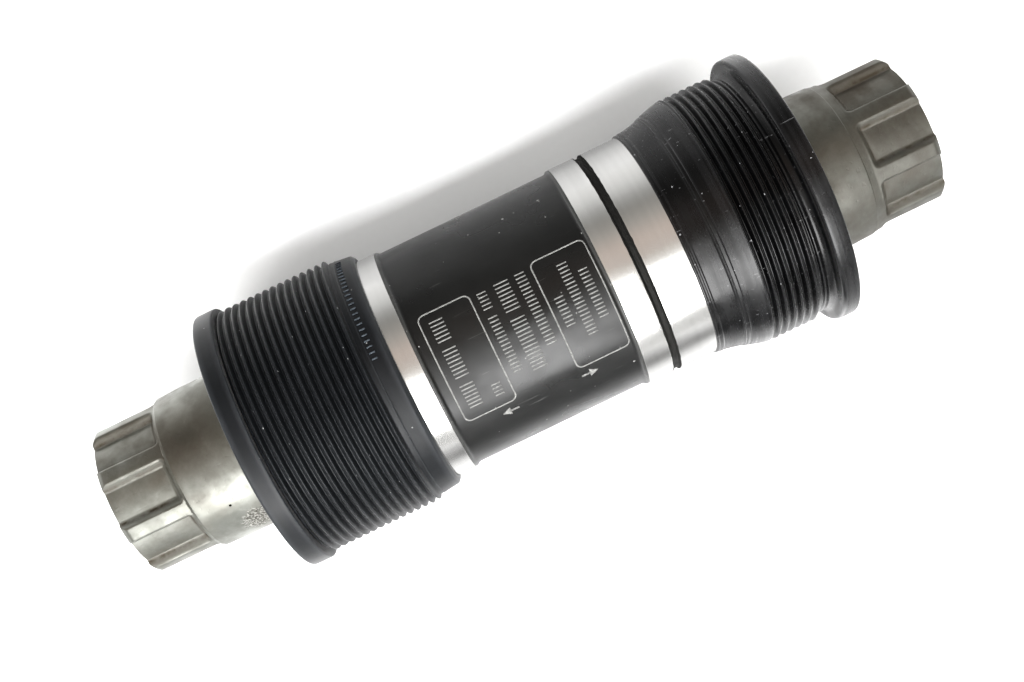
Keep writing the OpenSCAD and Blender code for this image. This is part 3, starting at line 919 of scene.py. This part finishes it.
def ground_steel(tree):
    """Ground bearing steel of the races."""
    grain = noise(tree, GRAIN, 2)
    tone = noise(tree, (20, 1400, 20), 3)
    return {
        "Base Color": mixed(tree, tone, (0.55, 0.55, 0.56), (0.70, 0.70, 0.71)),
        "Metallic": 1.0,
        "Roughness": ramp(tree, tone, (0.3, 0.18), (0.7, 0.28)),
        "Normal": bumped(tree, (grain, 0.003)),
    }


def polished_ball(tree):
    """Polished bearing balls under a film of grease."""
    film = noise(tree, (700, 700, 700), 3)
    return {
        "Base Color": mixed(tree, film, (0.62, 0.60, 0.54), (0.78, 0.78, 0.78)),
        "Metallic": 1.0,
        "Roughness": ramp(tree, film, (0.3, 0.05), (0.7, 0.16)),
        "Normal": bumped(tree, (film, 0.002)),
    }


def cage_nylon(tree):
    """Brown moulded nylon of the ball cages."""
    fine = noise(tree, (3000, 3000, 3000), 3)
    tone = noise(tree, (400, 400, 400), 3, shift=1)
    return {
        "Base Color": mixed(tree, tone, (0.05, 0.032, 0.015), (0.10, 0.07, 0.035)),
        "Roughness": ramp(tree, tone, (0.3, 0.4), (0.7, 0.55)),
        "Normal": bumped(tree, (fine, 0.01)),
    }


def studio_floor(tree):
    """Matte white paper, which fades into the plain background far from the part."""
    fine = noise(tree, (900, 900, 900), 3)
    away = node(tree, "VectorMath", {0: place_in(tree)}, operation="LENGTH").outputs["Value"]
    far = rising(tree, away, 0.3, 0.9, "SMOOTHSTEP")
    paper = mixed(tree, fine, (0.86, 0.86, 0.855), (0.90, 0.90, 0.895))
    return {
        "Base Color": mixed(tree, far, paper, (0.0, 0.0, 0.0)),
        "Roughness": 0.9,
        "Normal": bumped(tree, (fine, 0.01)),
        "Emission Color": (1.0, 1.0, 1.0, 1.0),
        "Emission Strength": far,
    }


# ---- Assembly ----


def put(piece, body, replaced, finish):
    """Gives a piece its material and its body, and hides the CAD node that it stands for."""
    piece.data.materials.append(finish)
    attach(piece, body)
    if replaced:
        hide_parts(replaced)


steel = material("bright_steel", bright_steel)
rubber = material("soft_rubber", soft_rubber)
charcoal = material("charcoal_plastic", charcoal_plastic)
cad_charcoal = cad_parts["left_cup"].active_material     # plain, and paler, which shows the bars
put(build_spindle(), "spindle", "spindle", material("spindle_steel", spindle_steel))
put(build_left_cup(), "left_cup", "left_cup", charcoal)
put(build_cup_ribs(), "left_cup", None, cad_charcoal)
put(build_drive_cup(), "cartridge", "drive_cup", material("gloss_black", gloss_black))
put(build_body_tube(), "cartridge", "body_tube", steel)
put(build_drive_housing(), "cartridge", "drive_housing", steel)
put(build_sleeve(), "cartridge", "label_sleeve", material("satin_sleeve", satin_sleeve))
put(build_joint_seal(), "cartridge", "joint_seal", rubber)
put(build_marks(), "cartridge", None, material("etched_mark", etched_mark))

inner_finishes = {
    "race": material("ground_steel", ground_steel),
    "seal": rubber,
    "balls": material("polished_ball", polished_ball),
    "cage": material("cage_nylon", cage_nylon),
}
for name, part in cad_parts.items():
    for word, finish in inner_finishes.items():
        if word in name and name != "joint_seal":
            for slot in part.material_slots:
                slot.material = finish


# ---- Floor, light and camera ----

CARD_BRIGHTEST = 3.2
FILL_GAIN = 1.3              # the room's light on matt surfaces, against what reflections show
FILL_WARMTH = 0.2
CAMERA_AT = (-2.69, 3.33, 183.6)     # mm
CAMERA_TURN = math.radians(25.67)    # of the spindle away from level in the picture
CAMERA_LEAN = 0.00536                # slope of the view towards the drive side
CAMERA_LENS = 49.12


def level_sheet(name, half, lift, finish):
    """A flat sheet under the part, tilted to touch both flanges and then moved up by lift, in metres."""
    corners = [(-half, -half, 0), (half, -half, 0), (half, half, 0), (-half, half, 0)]
    mesh = bpy.data.meshes.new(name)
    mesh.from_pydata(corners, [], [(0, 1, 2, 3)])
    mesh.materials.append(finish)
    sheet = bpy.data.objects.new(name, mesh)
    bpy.context.scene.collection.objects.link(sheet)
    inset = 0.6              # from each face to where its flange touches
    drive_y, left_y = inset - DRIVE_FACE, -inset - LEFT_FACE
    slope = (DRIVE_FLANGE_R - LEFT_FLANGE_R) / (left_y - drive_y)
    sheet.rotation_euler.x = math.atan(slope)
    sheet.location = (0, 0, -(DRIVE_FLANGE_R + slope * drive_y) * MM + lift)
    return sheet


def card_tones(tree, share, half, tones):
    """A ramp across the card from (X in metres, brightness) pairs, as a share of CARD_BRIGHTEST."""
    stops = [((x + half) / (2 * half), tone / CARD_BRIGHTEST) for x, tone in tones]
    return ramp(tree, share, *stops)


def build_card():
    """A card over the floor that only reflections show. Its tones across X stand for the part's own shadow
    and for the room, and give the steel its dark and light lines. There is a row of tones for the middle,
    one for the drive cup, and one past each end for the spindle."""
    finish = bpy.data.materials.new("floor_card")
    finish.use_nodes = True
    tree = finish.node_tree
    tree.nodes.clear()
    half = 0.5
    place = node(tree, "SeparateXYZ", {0: place_in(tree)})
    share = rising(tree, place.outputs["X"], -half, half)
    middle = card_tones(tree, share, half, [
        (-0.30, 0.82), (-0.13, 0.50), (-0.085, 0.26), (-0.066, 0.33), (-0.046, 1.17),
        (-0.032, 1.5), (-0.027, 1.5), (-0.022, 1.0), (0.0, 1.0), (0.01, 0.38),
        (0.027, 0.40), (0.046, 0.70), (0.08, 0.88), (0.30, 0.97),
    ])
    cup = card_tones(tree, share, half, [
        (-0.30, 0.82), (-0.13, 0.50), (-0.085, 0.26), (-0.066, 0.40), (-0.048, 2.0),
        (-0.040, 2.9), (-0.032, 3.2), (-0.027, 2.6), (-0.021, 1.4), (0.0, 1.2),
        (0.01, 0.45), (0.027, 0.45), (0.046, 0.80), (0.08, 1.0), (0.30, 0.97),
    ])
    left = card_tones(tree, share, half, [
        (-0.30, 1.0), (-0.06, 1.1), (-0.045, 1.5), (-0.035, 2.3), (-0.025, 2.7),
        (-0.020, 2.1), (0.025, 2.1), (0.035, 2.3), (0.05, 1.7), (0.30, 1.3),
    ])
    drive = card_tones(tree, share, half, [
        (-0.30, 1.0), (-0.06, 1.1), (-0.045, 1.3), (-0.035, 1.5),
        (-0.025, 1.6), (0.025, 1.5), (0.05, 1.3), (0.30, 1.0),
    ])
    past_left = rising(tree, place.outputs["Y"], 0.03, 0.046)
    by_cup = rising(tree, place.outputs["Y"], -0.025, -0.03)
    past_drive = rising(tree, place.outputs["Y"], -0.039, -0.045)
    tone = mixed(tree, by_cup, mixed(tree, past_left, middle, left), cup)
    tone = mixed(tree, past_drive, tone, drive)
    glow = node(tree, "Emission", {"Color": tone, "Strength": CARD_BRIGHTEST})
    tree.links.new(glow.outputs[0], node(tree, "OutputMaterial").inputs["Surface"])
    card = level_sheet("floor_card", half, lift=0.0001, finish=finish)
    card.visible_camera = card.visible_diffuse = card.visible_shadow = False


def softbox(name, angle, spread, span, radiance, distance=0.6, lean=0):
    """A soft light at an angle from straight up towards -X, spread degrees wide and along a span in metres.
    It leans over towards +Y by lean degrees."""
    lamp = bpy.data.lights.new(name, "AREA")
    lamp.shape = "RECTANGLE"
    lamp.size = 2 * distance * math.tan(math.radians(spread / 2))
    lamp.size_y = span[1] - span[0]
    lamp.energy = radiance * math.pi * lamp.size * lamp.size_y
    light = bpy.data.objects.new(name, lamp)
    tilt, lean = math.radians(angle), math.radians(lean)
    out = Vector((-math.sin(tilt) * math.cos(lean), math.sin(lean), math.cos(tilt) * math.cos(lean)))
    across = Vector((math.cos(tilt), 0, math.sin(tilt)))
    along = out.cross(across)
    rotation = Matrix((across, along, out)).transposed()
    light.matrix_world = Matrix.Translation(out * distance + along * sum(span) / 2) @ rotation.to_4x4()
    light.visible_camera = False
    bpy.context.scene.collection.objects.link(light)
    return light


def build_world():
    """A soft room: a bright line nearly overhead, darker beside it and pale low down. Matt surfaces get
    its grey, a little warmer, and the camera sees plain white."""
    world = bpy.data.worlds.new("studio")
    bpy.context.scene.world = world
    world.use_nodes = True
    tree = world.node_tree
    tree.nodes.clear()
    direction = node(tree, "SeparateXYZ", {0: node(tree, "TexCoord").outputs["Generated"]})
    sideways = product(tree, direction.outputs["X"], -1.0)
    angle = maths(tree, "ARCTAN2", sideways, direction.outputs["Z"])
    share = maths(tree, "ADD", maths(tree, "DIVIDE", angle, math.tau), 0.5)
    # Degrees from straight up, positive towards -X, and the colour there
    tones = [
        (-110, (0.95, 0.95, 0.94)),
        (-86, (0.98, 0.98, 0.97)),
        (-72, (0.80, 0.80, 0.79)),
        (-58, (0.42, 0.42, 0.41)),
        (-47, (0.27, 0.265, 0.25)),
        (-32, (0.42, 0.40, 0.37)),
        (-14, (0.66, 0.56, 0.50)),
        (3, (0.60, 0.53, 0.48)),
        (13, (1.0, 0.99, 0.95)),
        (24, (0.55, 0.53, 0.50)),
        (80, (0.70, 0.70, 0.69)),
        (110, (0.80, 0.80, 0.79)),
    ]
    room = node(tree, "ValToRGB", {"Fac": share})
    fill_ramp(room.color_ramp, [((degrees + 180) / 360, tone) for degrees, tone in tones])
    ray = node(tree, "LightPath")
    grey = node(tree, "RGBToBW", {0: room.outputs["Color"]}).outputs[0]
    fill = mixed(tree, FILL_WARMTH, grey, (1.0, 0.98, 0.93))
    fill = node(tree, "VectorMath", {0: fill, 1: (FILL_GAIN,) * 3}, operation="MULTIPLY").outputs[0]
    seen = mixed(tree, ray.outputs["Is Diffuse Ray"], room.outputs["Color"], fill)
    seen = mixed(tree, ray.outputs["Is Camera Ray"], seen, (1.0, 1.0, 1.0))
    background = node(tree, "Background", {"Color": seen, "Strength": 1.0})
    output = node(tree, "OutputWorld")
    tree.links.new(background.outputs[0], output.inputs["Surface"])


def build_camera():
    right = Vector((-math.sin(CAMERA_TURN), -math.cos(CAMERA_TURN), 0))
    back = Vector((0, CAMERA_LEAN, 1)).normalized()
    right = (right - back * right.dot(back)).normalized()
    up = back.cross(right)
    data = bpy.data.cameras.new("camera")
    data.sensor_width = 36
    data.lens = CAMERA_LENS
    data.clip_start = 0.005
    camera = bpy.data.objects.new("camera", data)
    rotation = Matrix((right, up, back)).transposed().to_4x4()
    camera.matrix_world = Matrix.Translation(Vector(CAMERA_AT) * MM) @ rotation
    bpy.context.scene.collection.objects.link(camera)
    bpy.context.scene.camera = camera


def set_tones():
    """Plain sRGB tones with the slightly deepened blacks of a camera."""
    view = bpy.context.scene.view_settings
    view.view_transform = "Standard"
    view.use_curve_mapping = True
    curve = view.curve_mapping.curves[3]
    curve.points[0].location = (0, 0)
    curve.points[-1].location = (1, 1)
    for dark, deeper in ((0.01, 0.004), (0.03, 0.017), (0.06, 0.044), (0.12, 0.108), (0.25, 0.25)):
        curve.points.new(dark, deeper)
    view.curve_mapping.update()


level_sheet("studio_floor", half=2.0, lift=-0.00002, finish=material("studio_floor", studio_floor))
build_card()
softbox("window", angle=42, spread=56, span=(-0.125, 0.26), radiance=2.5)
softbox("window_bright", angle=52, spread=34, span=(-0.115, 0.25), radiance=5.5, distance=0.58)
floor_lights = [
    softbox("top_light", angle=19, spread=7, span=(-0.4, 0.5), radiance=26),
    softbox("left_light", angle=34, spread=18, span=(-0.1, 0.1), radiance=25, lean=48),
    softbox("drive_light", angle=34, spread=18, span=(-0.1, 0.1), radiance=4, lean=-48),
]
for light in floor_lights:
    light.visible_glossy = False     # they light matt surfaces only
build_world()
build_camera()
set_tones()
